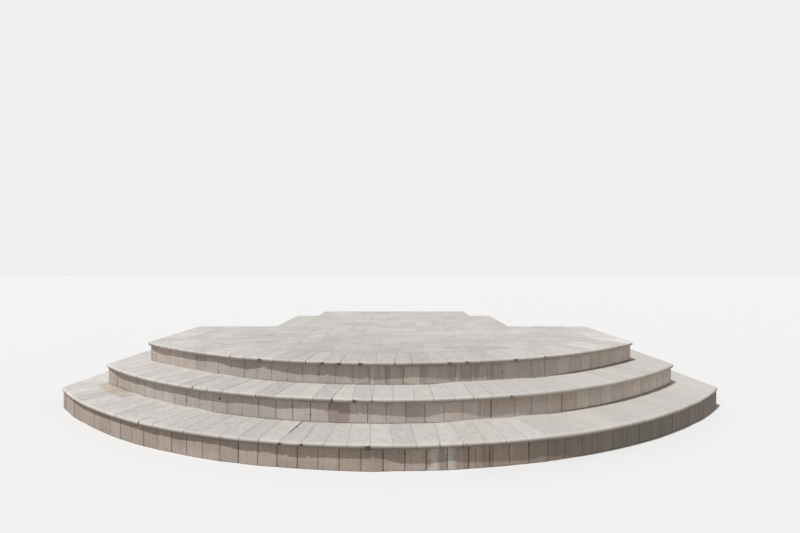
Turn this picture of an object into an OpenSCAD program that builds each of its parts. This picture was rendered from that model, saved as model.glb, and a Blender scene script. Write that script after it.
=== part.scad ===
// Curved outdoor stone steps: two lower tiers and a landing with a porch floor behind it.
// The front faces -Y. The origin is at the centre of the footprint, on the ground.

/* [Flight] */
// Height of each of the three rises
rise = 160; // [120:1:190]
// Depth of the bottom tread along the arc, from nosing to nosing
bottom_going = 265; // [200:5:340]
// Depth of the middle tread along the arc, from nosing to nosing
middle_going = 260; // [200:5:340]
// How far the nosings stand out past the riser stones
nosing_overhang = 30; // [15:1:45]
// How far the nosings stand out past the riser stones at the sides
side_overhang = 15; // [5:1:45]

/* [Stones] */
// Thickness of the tread and paving slabs, which is also the height of the rounded nosing
slab_t = 32; // [25:1:45]
// Thickness of the upright riser stones
riser_t = 60; // [40:1:90]
// Thickness of the plain facing on the hidden sides
facing_t = 60; // [40:1:90]

/* [Landing] */
// Radius of the landing's curved nosing
landing_r = 3135; // [2900:5:3600]
// Half of the landing's width
landing_half = 2020; // [1850:5:2200]
// Depth of the landing at its middle, from the nosing to the tiers' back line
landing_d = 1620; // [1400:5:1800]
// Depth of the radial nosing course round the landing's front
nosing_course = 305; // [200:5:350]
// Width of the edge course along the landing's sides
edge_w = 270; // [200:5:350]
// Depth of the paved field along the tiers' back line
back_field = 780; // [500:10:950]

/* [Side ledges] */
// Width of the middle tread where it runs back along the side
middle_ledge = 270; // [180:5:340]
// Width of the bottom tread where it runs back along the side
bottom_ledge = 285; // [180:5:340]

/* [Porch] */
// Half of the porch floor's width
porch_half = 1210; // [1050:5:1400]
// Depth of the porch floor
porch_d = 925; // [700:5:1300]
// Half of the width of the threshold floor behind it
threshold_half = 955; // [750:5:1000]
// Depth of the threshold floor
threshold_d = 490; // [200:10:700]

/* [Hidden] */
$fn = 360;
bullnose_fn = 48;

// Nosing radii and half widths, tier 1 is the landing and tier 3 the bottom tread
nosing_r = [0, landing_r, landing_r + middle_going, landing_r + middle_going + bottom_going];
nosing_half = [0, landing_half, landing_half + middle_ledge, landing_half + middle_ledge + bottom_ledge];

// From the nosing in to the core, past the overhang and the riser stones
to_core = nosing_overhang + riser_t;
to_core_side = side_overhang + riser_t;

// Reach of a cutting shape past what it cuts
spare = 10;

// Places along Y
front_to_back = landing_d + middle_going + bottom_going;
total_d = front_to_back + porch_d + threshold_d;
back_y = front_to_back - total_d / 2;
arc_y = nosing_r[3] - total_d / 2;
porch_y = back_y + porch_d;
threshold_y = porch_y + threshold_d;

// Tops of the tiers and undersides of their slabs
function top_z(tier) = (4 - tier) * rise;
function slab_z(tier) = top_z(tier) - slab_t;
function foot_z(tier) = tier == 3 ? 0 : slab_z(tier + 1);

// Angle from the middle line at which a circle round the arcs' centre passes x
function angle_at(x, r) = asin(x / r);
function arc_front(x, r) = arc_y - sqrt(r * r - x * x);

stone_light = [0.78, 0.76, 0.73];
stone_warm = [0.80, 0.77, 0.73];
stone_riser = [0.62, 0.56, 0.52];
stone_plain = [0.58, 0.54, 0.50];
concrete = [0.60, 0.59, 0.57];

// Section of a slab from r0 out to r1 with a full bullnose at r1
module bullnose_section(r0, r1) {
  translate([r0, 0])
    square([r1 - slab_t / 2 - r0, slab_t]);
  translate([r1 - slab_t / 2, slab_t / 2])
    circle(d = slab_t, $fn = bullnose_fn);
}

// Part of a ring round the arcs' centre, between two angles from the middle line
module ring_run(a0, a1) {
  translate([0, arc_y, 0])
    rotate([0, 0, a0 - 90])
      rotate_extrude(angle = a1 - a0)
        children();
}

// Straight run along the right side, from the tiers' back line forwards
module side_run(length) {
  translate([0, back_y, 0])
    rotate([90, 0, 0])
      linear_extrude(height = length)
        children();
}

// Plan of what lies right of the radial line through the inner corner
module side_plan(x_in, r_in, half) {
  a = angle_at(x_in, r_in);
  reach = 2 * (half - x_in) + riser_t;
  far_x = x_in + reach * sin(a);
  far_y = arc_front(x_in, r_in) - reach * cos(a);
  polygon([
    [x_in, arc_front(x_in, r_in)],
    [far_x, far_y],
    [half + reach, far_y],
    [half + reach, back_y],
    [x_in, back_y]
  ]);
}

// Plan of a tier: a circle cut off at both sides and at a straight back line
module tier_plan(r, half, end_y) {
  intersection() {
    translate([0, arc_y])
      circle(r = r);
    translate([-half, arc_y - r - spare])
      square([2 * half, end_y - arc_y + r + spare]);
  }
}

// Slab with a bullnose along the arc, one third of the front, run is -1, 0 or 1
module slab_front(tier, r_in, half_in, run) {
  third = 2 * angle_at(half_in, r_in) / 3;
  translate([0, 0, slab_z(tier)])
    ring_run((run - 0.5) * third, (run + 0.5) * third)
      bullnose_section(r_in, nosing_r[tier]);
}

// Slab with a bullnose round the corner and along the right side
module slab_side(tier, r_in, half_in) {
  translate([0, 0, slab_z(tier)])
    intersection() {
      ring_run(0, 90)
        bullnose_section(arc_y - back_y, nosing_r[tier]);
      side_run(nosing_r[tier])
        bullnose_section(0, nosing_half[tier]);
      linear_extrude(height = slab_t)
        side_plan(half_in, r_in, nosing_half[tier]);
    }
}

// Upright stones along the arc, one third of the front
module riser_front(tier, run) {
  r_in = nosing_r[tier] - to_core;
  third = 2 * angle_at(nosing_half[tier] - to_core_side, r_in) / 3;
  base = tier == 3 ? 0 : top_z(tier + 1);
  translate([0, 0, base])
    ring_run((run - 0.5) * third, (run + 0.5) * third)
      translate([r_in, 0])
        square([riser_t, slab_z(tier) - base]);
}

// Upright stones round the corner and along the right side
module riser_side(tier) {
  r_in = nosing_r[tier] - to_core;
  half_in = nosing_half[tier] - to_core_side;
  base = tier == 3 ? 0 : top_z(tier + 1);
  translate([0, 0, base])
    linear_extrude(height = slab_z(tier) - base)
      intersection() {
        tier_plan(r_in + riser_t, half_in + riser_t, back_y);
        side_plan(half_in, r_in, nosing_half[tier]);
      }
}

// Solid core of a tier
module core(tier) {
  color(concrete)
    translate([0, 0, foot_z(tier)])
      linear_extrude(height = slab_z(tier) - foot_z(tier))
        tier_plan(nosing_r[tier] - to_core, nosing_half[tier] - to_core_side, back_y - facing_t);
}

// Upright block with its corner at x, y
module block(x, y, width, depth, base, height) {
  translate([x, y, base])
    cube([width, depth, height]);
}

module riser_run(tier, run) {
  color(stone_riser)
    riser_front(tier, run);
}

module riser_return(tier, side) {
  color(stone_riser)
    mirror([side < 0 ? 1 : 0, 0, 0])
      riser_side(tier);
}

module tread_run(tier, run) {
  color(stone_light)
    slab_front(tier, nosing_r[tier - 1] - to_core, nosing_half[tier - 1] - to_core_side, run);
}

module tread_return(tier, side) {
  color(stone_light)
    mirror([side < 0 ? 1 : 0, 0, 0])
      slab_side(tier, nosing_r[tier - 1] - to_core, nosing_half[tier - 1] - to_core_side);
}

module nosing_run(run) {
  color(stone_warm)
    slab_front(1, landing_r - nosing_course, landing_half - edge_w, run);
}

module edge_run(side) {
  color(stone_warm)
    mirror([side < 0 ? 1 : 0, 0, 0])
      slab_side(1, landing_r - nosing_course, landing_half - edge_w);
}

module bottom_core() core(3);
module middle_core() core(2);
module landing_core() core(1);

module porch_core() {
  half = porch_half - facing_t;
  color(concrete)
    block(-half, back_y - facing_t, 2 * half, porch_d, 0, slab_z(1));
}

module threshold_core() {
  half = threshold_half - facing_t;
  color(concrete)
    block(-half, porch_y - facing_t, 2 * half, threshold_d, 0, slab_z(1));
}

module bottom_riser_left() riser_run(3, -1);
module bottom_riser_centre() riser_run(3, 0);
module bottom_riser_right() riser_run(3, 1);
module bottom_riser_side_left() riser_return(3, -1);
module bottom_riser_side_right() riser_return(3, 1);

module middle_riser_left() riser_run(2, -1);
module middle_riser_centre() riser_run(2, 0);
module middle_riser_right() riser_run(2, 1);
module middle_riser_side_left() riser_return(2, -1);
module middle_riser_side_right() riser_return(2, 1);

module landing_riser_left() riser_run(1, -1);
module landing_riser_centre() riser_run(1, 0);
module landing_riser_right() riser_run(1, 1);
module landing_riser_side_left() riser_return(1, -1);
module landing_riser_side_right() riser_return(1, 1);

module bottom_tread_left() tread_run(3, -1);
module bottom_tread_centre() tread_run(3, 0);
module bottom_tread_right() tread_run(3, 1);
module bottom_tread_side_left() tread_return(3, -1);
module bottom_tread_side_right() tread_return(3, 1);

module middle_tread_left() tread_run(2, -1);
module middle_tread_centre() tread_run(2, 0);
module middle_tread_right() tread_run(2, 1);
module middle_tread_side_left() tread_return(2, -1);
module middle_tread_side_right() tread_return(2, 1);

module landing_nosing_left() nosing_run(-1);
module landing_nosing_centre() nosing_run(0);
module landing_nosing_right() nosing_run(1);
module landing_edge_left() edge_run(-1);
module landing_edge_right() edge_run(1);

// The paving inside the landing's nosing and edge courses, in front of the back field
module landing_paving_front() {
  color(stone_light)
    translate([0, 0, slab_z(1)])
      linear_extrude(height = slab_t)
        tier_plan(landing_r - nosing_course, landing_half - edge_w, back_y - back_field);
}

// The back field, along the tiers' back line
module landing_paving_back() {
  half = landing_half - edge_w;
  color(stone_light)
    translate([0, 0, slab_z(1)])
      linear_extrude(height = slab_t)
        intersection() {
          tier_plan(landing_r - nosing_course, half, back_y);
          translate([-half, back_y - back_field])
            square([2 * half, back_field]);
        }
}

module porch_paving() {
  color(stone_light)
    block(-porch_half, back_y, 2 * porch_half, porch_d, slab_z(1), slab_t);
}

module threshold_paving() {
  color(stone_light)
    block(-threshold_half, porch_y, 2 * threshold_half, threshold_d, slab_z(1), slab_t);
}

// The facing of the three tiers' backs, a stepped wall beside the porch
module back_facing(side) {
  color(stone_plain)
    mirror([side < 0 ? 1 : 0, 0, 0])
      union() {
        for (tier = [1:3])
          block(porch_half, back_y - facing_t, nosing_half[tier] - to_core_side - porch_half, facing_t,
                foot_z(tier), slab_z(tier) - foot_z(tier));
      }
}

module back_facing_left() back_facing(-1);
module back_facing_right() back_facing(1);

// The facing of the porch's side and of its shoulder beside the threshold floor
module porch_facing(side) {
  color(stone_plain)
    mirror([side < 0 ? 1 : 0, 0, 0])
      union() {
        block(porch_half - facing_t, back_y - facing_t, facing_t, porch_d + facing_t, 0, slab_z(1));
        block(threshold_half - facing_t, porch_y - facing_t, porch_half - threshold_half + facing_t, facing_t,
              0, slab_z(1));
      }
}

module porch_facing_left() porch_facing(-1);
module porch_facing_right() porch_facing(1);

// The facing round the threshold floor
module threshold_facing() {
  color(stone_plain)
    union() {
      for (side = [-1, 1])
        mirror([side < 0 ? 1 : 0, 0, 0])
          block(threshold_half - facing_t, porch_y, facing_t, threshold_d, 0, slab_z(1));
      block(-threshold_half, threshold_y - facing_t, 2 * threshold_half, facing_t, 0, slab_z(1));
    }
}

bottom_core();
middle_core();
landing_core();
porch_core();
threshold_core();
bottom_riser_left();
bottom_riser_centre();
bottom_riser_right();
bottom_riser_side_left();
bottom_riser_side_right();
middle_riser_left();
middle_riser_centre();
middle_riser_right();
middle_riser_side_left();
middle_riser_side_right();
landing_riser_left();
landing_riser_centre();
landing_riser_right();
landing_riser_side_left();
landing_riser_side_right();
bottom_tread_left();
bottom_tread_centre();
bottom_tread_right();
bottom_tread_side_left();
bottom_tread_side_right();
middle_tread_left();
middle_tread_centre();
middle_tread_right();
middle_tread_side_left();
middle_tread_side_right();
landing_nosing_left();
landing_nosing_centre();
landing_nosing_right();
landing_edge_left();
landing_edge_right();
landing_paving_front();
landing_paving_back();
porch_paving();
threshold_paving();
back_facing_left();
back_facing_right();
porch_facing_left();
porch_facing_right();
threshold_facing();
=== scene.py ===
import math
import random
import bpy
import bmesh
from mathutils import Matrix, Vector


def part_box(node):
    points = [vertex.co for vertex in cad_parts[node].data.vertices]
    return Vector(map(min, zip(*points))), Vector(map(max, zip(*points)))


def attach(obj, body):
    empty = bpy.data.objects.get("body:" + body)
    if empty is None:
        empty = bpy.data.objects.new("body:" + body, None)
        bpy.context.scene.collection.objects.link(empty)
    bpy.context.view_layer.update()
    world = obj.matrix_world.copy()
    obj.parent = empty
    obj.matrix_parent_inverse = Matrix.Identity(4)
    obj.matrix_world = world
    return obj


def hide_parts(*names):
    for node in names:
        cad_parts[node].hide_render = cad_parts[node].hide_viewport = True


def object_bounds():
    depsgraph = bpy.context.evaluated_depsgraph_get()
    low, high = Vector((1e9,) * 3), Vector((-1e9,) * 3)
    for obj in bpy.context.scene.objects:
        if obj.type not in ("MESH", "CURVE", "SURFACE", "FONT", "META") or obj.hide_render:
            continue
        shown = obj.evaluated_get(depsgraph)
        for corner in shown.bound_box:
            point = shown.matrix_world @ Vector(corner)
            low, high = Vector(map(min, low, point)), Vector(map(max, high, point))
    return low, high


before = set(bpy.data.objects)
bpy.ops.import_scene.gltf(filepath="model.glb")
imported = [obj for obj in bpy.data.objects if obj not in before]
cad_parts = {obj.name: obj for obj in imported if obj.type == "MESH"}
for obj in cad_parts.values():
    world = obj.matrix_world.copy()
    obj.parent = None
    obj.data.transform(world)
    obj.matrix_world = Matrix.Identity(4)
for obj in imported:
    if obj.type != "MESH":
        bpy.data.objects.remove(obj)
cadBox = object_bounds()

# Sizes in metres, the same as in the part. Tier 0 is the landing, 1 the middle step, 2 the bottom step.
flight = {
    "rise": 0.160,
    "slab": 0.032,
    "overhang": 0.030,
    "sideOverhang": 0.015,
    "riserDepth": 0.060,
    "facingDepth": 0.060,
    "radius": [3.135, 3.395, 3.660],
    "nosingCourse": 0.305,
    "edgeWidth": 0.270,
}
sideStones = ("landing_edge_right", "middle_tread_side_right", "bottom_tread_side_right")
half = [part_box(name)[1].x for name in sideStones]
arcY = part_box("bottom_tread_centre")[0].y + flight["radius"][2]
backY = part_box("landing_edge_right")[1].y
porchHalf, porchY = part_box("porch_paving")[1].xy
thresholdHalf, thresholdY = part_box("threshold_paving")[1].xy
toCore = flight["overhang"] + flight["riserDepth"]
toCoreSide = flight["sideOverhang"] + flight["riserDepth"]
slabThick = flight["slab"]


def slabBase(tier):
    return (3 - tier) * flight["rise"] - slabThick


def riserBase(tier):
    return (2 - tier) * flight["rise"]


def arcPoint(angle, reach):  # angle from the middle line, to the right
    return Vector((reach * math.sin(angle), arcY - reach * math.cos(angle)))


def arcFront(x, reach):
    return arcY - math.sqrt(reach * reach - x * x)


def treadCorner(tier):  # where a tier's front stones meet its side stones, at their inner ends
    if tier == 0:
        return half[0] - flight["edgeWidth"], flight["radius"][0] - flight["nosingCourse"]
    return riserCorner(tier - 1)


def riserCorner(tier):
    return half[tier] - toCoreSide, flight["radius"][tier] - toCore


# Sockets that take Python's operators


def socketMaths(operation, reflected=False):
    def work(self, other):
        return self.combine(operation, *((other, self) if reflected else (self, other)))
    return work


class Wire:
    def __init__(self, graph, socket):
        self.graph = graph
        self.socket = socket

    def combine(self, operation, first, second):
        vectors = [v.socket.type in ("VECTOR", "RGBA") if isinstance(v, Wire) else isinstance(v, tuple)
                   for v in (first, second)]
        if not any(vectors):
            return self.graph.maths(operation, first, second)
        if operation == "MULTIPLY" and not all(vectors):
            return self.graph.node("ShaderNodeVectorMath", {0: first, "Scale": second}, operation="SCALE")
        return self.graph.node("ShaderNodeVectorMath", [first, second], operation=operation)

    __add__, __radd__ = socketMaths("ADD"), socketMaths("ADD", True)
    __sub__, __rsub__ = socketMaths("SUBTRACT"), socketMaths("SUBTRACT", True)
    __mul__, __truediv__ = socketMaths("MULTIPLY"), socketMaths("DIVIDE")
    __gt__, __lt__ = socketMaths("GREATER_THAN"), socketMaths("LESS_THAN")
    most = socketMaths("MAXIMUM")

    def __neg__(self):
        return self * -1.0

    def __abs__(self):
        return self.graph.maths("ABSOLUTE", self)

    def above(self, edge, spread):  # 0 below the edge, 1 past edge + spread, smooth between
        inputs = {"Value": self, "From Min": edge, "From Max": edge + spread}
        return self.graph.node("ShaderNodeMapRange", inputs, interpolation_type="SMOOTHSTEP")

    def within(self, low, high, spread):  # 1 between low and high, fading out over the spread
        return self.above(low - spread, spread) * (1 - self.above(high, spread))


class Graph:
    def __init__(self, tree):
        self.tree = tree

    def node(self, kind, inputs=(), out=0, **settings):
        made = self.tree.nodes.new(kind)
        for name, value in settings.items():
            setattr(made, name, value)
        for name, value in inputs.items() if isinstance(inputs, dict) else enumerate(inputs):
            if isinstance(value, Wire):
                self.tree.links.new(value.socket, made.inputs[name])
            else:
                made.inputs[name].default_value = value
        return Wire(self, made.outputs[out])

    def curve(self, value, bends):  # through these places, from 0 to 1 both ways
        curved = self.node("ShaderNodeFloatCurve", {"Value": value})
        mapping = curved.socket.node.mapping
        points = mapping.curves[0].points
        for place, height in bends[1:-1]:
            points.new(place, height)
        points[0].location, points[-1].location = bends[0], bends[-1]
        for point in points:
            point.handle_type = "AUTO_CLAMPED"
        mapping.update()
        return curved

    def mix(self, share, *colours):
        first, second = ((*c, 1) if isinstance(c, tuple) else c for c in colours)
        return self.node("ShaderNodeMix", {0: share, 6: first, 7: second}, 2, data_type="RGBA", clamp_factor=True)

    def noise(self, place, scale, detail=2.0, roughness=0.5, distortion=0.0):
        return self.node("ShaderNodeTexNoise", {"Vector": place, "Scale": scale, "Detail": detail,
                                                "Roughness": roughness, "Distortion": distortion})

    def chance(self, number):  # the same number from 0 to 1 for the same input
        return self.node("ShaderNodeTexWhiteNoise", {"W": number}, noise_dimensions="1D")

    def split(self, vector):
        return [Wire(self, out) for out in self.node("ShaderNodeSeparateXYZ", [vector]).socket.node.outputs]

    def join(self, x, y, z):
        return self.node("ShaderNodeCombineXYZ", [x, y, z])

    def maths(self, operation, *values):
        return self.node("ShaderNodeMath", values, operation=operation)


# Stone blanks and courses. An arris has its points at these degrees, and dirt along it fades out past it,
# by shares at multiples of its size.
roundArris = {"turns": (0, 30, 60, 90), "fade": ((3.2, 0.25), (8.0, 0.0))}
cutArris = {"turns": (0, 90), "fade": ((3.2, 0.0),)}
blankWidth = 0.12  # a course gives each of its stones its own width
grainSpread = 9.0  # how far from one another the stones lie in the patterns of their grain
noStone = -9.0  # the number of an odd stone in a course that has none
weathering = {"arcWave": 8.0, "lineWave": 2.4, "chipScale": 26.0, "chipsFrom": 0.60, "chipsSpread": 0.16,
              "roughScale": 11.0}


def stoneBlank(name, profile, columns):
    # profile: behind, height, outward normal, edge share, round the stone; columns: across, inset, shrink, edge share
    bm = bmesh.new()
    across, inset, edge = (bm.verts.layers.float.new(n) for n in ("across", "inset", "edge"))
    rings = []
    for share, shift, shrink, sideEdge in columns:
        ring = []
        for behind, height, normalBehind, normalHeight, profileEdge in profile:
            place = (share * blankWidth + shift, behind - normalBehind * shrink, height - normalHeight * shrink)
            vert = bm.verts.new(place)
            vert[across], vert[inset], vert[edge] = share, shift, max(sideEdge, profileEdge)
            ring.append(vert)
        rings.append(ring)
    closeRings(bm, rings)
    bmesh.ops.recalc_face_normals(bm, faces=bm.faces)
    for face in bm.faces:
        face.smooth = True
    return toMesh(bm, name)


def closeRings(bm, rings):  # faces from ring to ring, and one at each end
    faces = []
    for ring, after in zip(rings, rings[1:]):
        for i in range(len(ring)):
            j = (i + 1) % len(ring)
            faces.append(bm.faces.new((ring[i], ring[j], after[j], after[i])))
    return faces + [bm.faces.new(rings[0][::-1]), bm.faces.new(rings[-1])]


def toMesh(bm, name):
    mesh = bpy.data.meshes.new(name)
    bm.to_mesh(mesh)
    bm.free()
    return mesh


def toPiece(name, mesh):
    piece = bpy.data.objects.new(name, mesh)
    bpy.context.scene.collection.objects.link(piece)
    return piece


def arrisPoints(arris, kind=roundArris):  # from face to face: inset from both faces, and the normal towards them
    turns = [math.radians(turn) for turn in kind["turns"]]
    return [(arris * (1 - math.sin(a)), arris * (1 - math.cos(a)), math.sin(a), math.cos(a)) for a in turns]


def stoneColumns(arris, inner, kind=roundArris):
    # side columns with a rounded arris, and inner ones at even shares
    side = [(inset, shrink, 1.0) for shrink, inset, _, _ in arrisPoints(arris, kind)]
    side += [(arris * past, 0.0, share) for past, share in kind["fade"]]
    left = [(-0.5, inset, shrink, edge) for inset, shrink, edge in side]
    right = [(0.5, -inset, shrink, edge) for inset, shrink, edge in reversed(side)]
    middle = [(-0.5 + (i + 1) / (inner + 1), 0.0, 0.0, 0.0) for i in range(inner)]
    return left + middle + right


def bullnoseProfile(depth, steps, turns=12, backArris=0.002):
    # starts under the stone, goes round the nose and back over the top
    r = slabThick / 2
    points = []
    for i in range(turns + 1):
        a = math.pi * i / turns
        points.append((r - r * math.sin(a), r - r * math.cos(a), -math.sin(a), -math.cos(a), 0.35))
    for i in range(1, steps):
        share = (i / steps) ** 1.3
        points.append((r + (depth - r) * share, slabThick, 0.0, 1.0, 0.0))
    return points + [(depth - backArris, slabThick, 0.0, 1.0, 0.8), (depth, slabThick - backArris, 1.0, 0.0, 0.8),
                     (depth, backArris, 1.0, 0.0, 0.0), (depth - backArris, 0.0, 0.0, -1.0, 0.0),
                     (depth * 0.5, 0.0, 0.0, -1.0, 0.0)]


def uprightProfile(depth, height, arris, steps, kind=roundArris):
    # an upright stone seen from the side, its face at 0; dirt fades out 3 mm past each arris
    foot = [(behind, up, -out, -down, 1.0) for behind, up, out, down in arrisPoints(arris, kind)]
    foot.append((0.0, arris + 0.003, -1.0, 0.0, 0.15))
    face = [(0.0, arris + (height - 2 * arris) * i / steps, -1.0, 0.0, 0.0) for i in range(1, steps)]
    head = [(behind, height - up, out, -rise, share) for behind, up, out, rise, share in reversed(foot)]
    return foot + face + head + [(depth, height, 1.0, 0.0, 0.0), (depth, 0.0, 1.0, 0.0, 0.0)]


def buildCourseTree(name, curved, bows=(), openings=()):
    # stones side by side along an arc or a line, each between two joints, worn and set a little unevenly;
    # bows hold how far back the line of stones runs, by degrees from the middle line, in millimetres,
    # and openings how wide the joints are there, as a share of the usual
    tree = bpy.data.node_groups.new(name, "GeometryNodeTree")
    names = {}
    kinds = {"Stone": "Geometry", "Count": "Int", "Material": "Material"}
    for label in ("Stone", "Count", "Start", "End", "First", "Pitch", "Reach", "Origin X", "Origin Y", "Along X",
                  "Along Y", "Base", "Gap", "Wander", "Skew", "Proud", "Wave", "Depth", "Odd", "Odd Shift",
                  "Odd Gap", "Odd From", "Settle", "Rough", "Chips", "Seed", "Material"):
        kind = "NodeSocket" + kinds.get(label, "Float")
        names[label] = tree.interface.new_socket(label, in_out="INPUT", socket_type=kind).identifier
    tree.interface.new_socket("Course", in_out="OUTPUT", socket_type="NodeSocketGeometry")
    g = Graph(tree)
    source = tree.nodes.new("NodeGroupInput")
    given = {label: Wire(g, source.outputs[label]) for label in names}

    def store(geometry, label, value, kind="FLOAT", domain="POINT"):
        return g.node("GeometryNodeStoreNamedAttribute", {"Geometry": geometry, "Name": label, "Value": value},
                      data_type=kind, domain=domain)

    def read(label, kind="FLOAT"):
        return g.node("GeometryNodeInputNamedAttribute", {"Name": label}, data_type=kind)

    points = g.node("GeometryNodePoints", {"Count": given["Count"]})
    placed = g.node("GeometryNodeInstanceOnPoints", {"Points": points, "Instance": given["Stone"]})
    numbered = store(placed, "stoneId", g.node("GeometryNodeInputIndex"), "INT", "INSTANCE")
    real = g.node("GeometryNodeRealizeInstances", {"Geometry": numbered})

    stoneId = read("stoneId", "INT") * 1.0
    across, inset, edge = (read(label) for label in ("across", "inset", "edge"))
    position = g.node("GeometryNodeInputPosition")
    behind, height = g.split(position)[1:]

    def draw(number, salt):
        return g.chance(number * 7.13 + given["Seed"] + salt * 37.7)

    def isOdd(number):
        return g.maths("COMPARE", number, given["Odd"], 0.1)

    def joint(number):
        isFirst = number < 0.5
        isLast = number > given["Count"] - 0.5
        inner = given["First"] + (number - 1.0) * given["Pitch"] + (draw(number, 1) - 0.5) * given["Wander"]
        inner = inner + (draw(number, 2) - 0.5) * given["Skew"] * behind
        inner = inner + isOdd(number) * given["Odd Shift"]
        return inner * (1 - isFirst) * (1 - isLast) + given["Start"] * isFirst + given["End"] * isLast

    def alongArc(values, most, angle):  # the curve through values by degrees
        bends = [(0.5 + degrees / 90, value / most) for degrees, value in values]
        return g.curve(0.5 + angle * (math.degrees(1) / 90), bends) * most

    def gap(number, angle):
        width = draw(number, 3)
        usual = given["Gap"] * (0.25 + width * width * 1.7)
        if curved:
            usual = usual * alongArc(openings, 2.0, angle)
        return usual + isOdd(number) * given["Odd Gap"] * (behind > given["Odd From"])

    following = stoneId + 1.0
    left, right = joint(stoneId), joint(following)
    along = left + (right - left) * (across + 0.5)
    shift = inset + (-across).most(0.0) * gap(stoneId, left) - across.most(0.0) * gap(following, right)
    waveAt = along * weathering["arcWave" if curved else "lineWave"] + given["Seed"]
    wave = g.node("ShaderNodeTexNoise", {"W": waveAt, "Scale": 1.0, "Detail": 1.0}, noise_dimensions="1D")
    unevenness = (draw(stoneId, 4) - 0.5) * given["Proud"] + (draw(stoneId, 5) - 0.5) * across * given["Proud"]
    away = given["Wave"] * 0.25 + (wave - 0.5) * given["Wave"] + unevenness
    if curved:
        away = away + alongArc(bows, 40.0, along) * 0.001
    setBack = behind + away.most(0.0) * (1 - behind / given["Depth"])
    level = height - draw(stoneId, 6) * given["Settle"] + (draw(stoneId, 7) - 0.5) * across * given["Settle"]
    level = level + given["Base"] - given["Settle"] * 0.25
    if curved:
        reach = given["Reach"] - setBack
        x = given["Origin X"] + reach * g.maths("SINE", along) + shift * g.maths("COSINE", along)
        y = given["Origin Y"] - reach * g.maths("COSINE", along) + shift * g.maths("SINE", along)
        width = (right - left) * given["Reach"]
    else:
        x = given["Origin X"] + given["Along X"] * (along + shift) - given["Along Y"] * setBack
        y = given["Origin Y"] + given["Along Y"] * (along + shift) + given["Along X"] * setBack
        width = right - left
    toned = store(real, "stoneTone", draw(stoneId, 8))
    scatter = g.join(draw(stoneId, 9), draw(stoneId, 10), draw(stoneId, 11)) * grainSpread
    grained = store(toned, "stoneGrain", g.join(across * width, behind, height) + scatter, "FLOAT_VECTOR")
    laid = g.node("GeometryNodeSetPosition", {"Geometry": grained, "Position": g.join(x, y, level)})

    chipping = g.noise(position, weathering["chipScale"])
    chipping = chipping.above(weathering["chipsFrom"], weathering["chipsSpread"]) * edge
    rough = g.noise(position, weathering["roughScale"], 3.0) * given["Rough"]
    wear = g.node("GeometryNodeInputNormal") * (-(chipping * given["Chips"] + rough))
    worn = g.node("GeometryNodeSetPosition", {"Geometry": laid, "Offset": wear})
    chipped = store(worn, "chipped", chipping)
    finished = g.node("GeometryNodeSetMaterial", {"Geometry": chipped, "Material": given["Material"]})
    tree.links.new(finished.socket, tree.nodes.new("NodeGroupOutput").inputs[0])
    return tree, names


lineTree = buildCourseTree("stonesAlongALine", False)


def layCourse(name, blank, course, values):
    tree, names = course
    piece = toPiece(name, blank)
    modifier = piece.modifiers.new("course", "NODES")
    modifier.node_group = tree
    for label, value in values.items():
        modifier[names[label]] = value
    bpy.context.view_layer.update()
    graph = bpy.context.evaluated_depsgraph_get()
    mesh = bpy.data.meshes.new_from_object(piece.evaluated_get(graph))
    piece.modifiers.remove(modifier)
    piece.data = mesh
    for spare in ("across", "inset", "stoneId"):
        if spare in mesh.attributes:
            mesh.attributes.remove(mesh.attributes[spare])
    return piece


def arcCourse(name, blank, settings, reach, depth, corner, base, material):
    # joints at a fixed pitch from one measured joint, between the two corner stones
    end = math.asin(corner[0] / corner[1])
    pitch, joint = math.radians(settings["pitch"]), math.radians(settings["joint"])
    least = 0.45 * pitch  # the narrowest stone beside a corner stone
    low = math.ceil((-end + least - joint) / pitch)
    high = math.floor((end - least - joint) / pitch)
    values = dict(settings["wear"])
    values.update({"Count": high - low + 2, "Start": -end, "End": end, "First": joint + low * pitch, "Pitch": pitch,
                   "Reach": reach, "Origin X": 0.0, "Origin Y": arcY, "Base": base, "Material": material,
                   "Wander": settings["wear"]["Wander"] / reach, "Depth": depth, "Odd": noStone})
    if "odd" in settings:
        nominal, measured, gap, start = settings["odd"]
        steps = round((math.radians(nominal) - joint) / pitch)
        values.update({"Odd": steps - low + 1.0, "Odd Shift": math.radians(measured) - joint - pitch * steps,
                       "Odd Gap": gap, "Odd From": start})
    tree = buildCourseTree(name + "Tree", True, settings["bows"], settings["openings"])
    return layCourse(name, blank, tree, values)


def lineCourse(name, blank, settings, start, direction, length, base, material, seed):
    count = max(1, round(length / settings["pitchOnLine"]))
    pitch = length / count
    values = dict(settings["wear"])
    values.update({"Count": count, "Start": 0.0, "End": length, "First": pitch, "Pitch": pitch, "Reach": 0.0,
                   "Origin X": start[0], "Origin Y": start[1], "Along X": direction[0], "Along Y": direction[1],
                   "Base": base, "Material": material, "Skew": 0.0, "Seed": seed, "Depth": 0.25, "Odd": noStone})
    return layCourse(name, blank, lineTree, values)


def movedOutline(outline, shifts):  # each side moved inwards by its own shift
    lines = []
    for i, start in enumerate(outline):
        way = (outline[(i + 1) % len(outline)] - start).normalized()
        lines.append((start + Vector((-way.y, way.x)) * shifts[i], way))
    moved = []
    for i in range(len(outline)):
        (p, d), (q, e) = lines[i - 1], lines[i]
        cross = d.x * e.y - d.y * e.x
        if abs(cross) < 1e-4:
            moved.append(q)
        else:
            moved.append(p + d * (((q - p).x * e.y - (q - p).y * e.x) / cross))
    return moved


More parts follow.
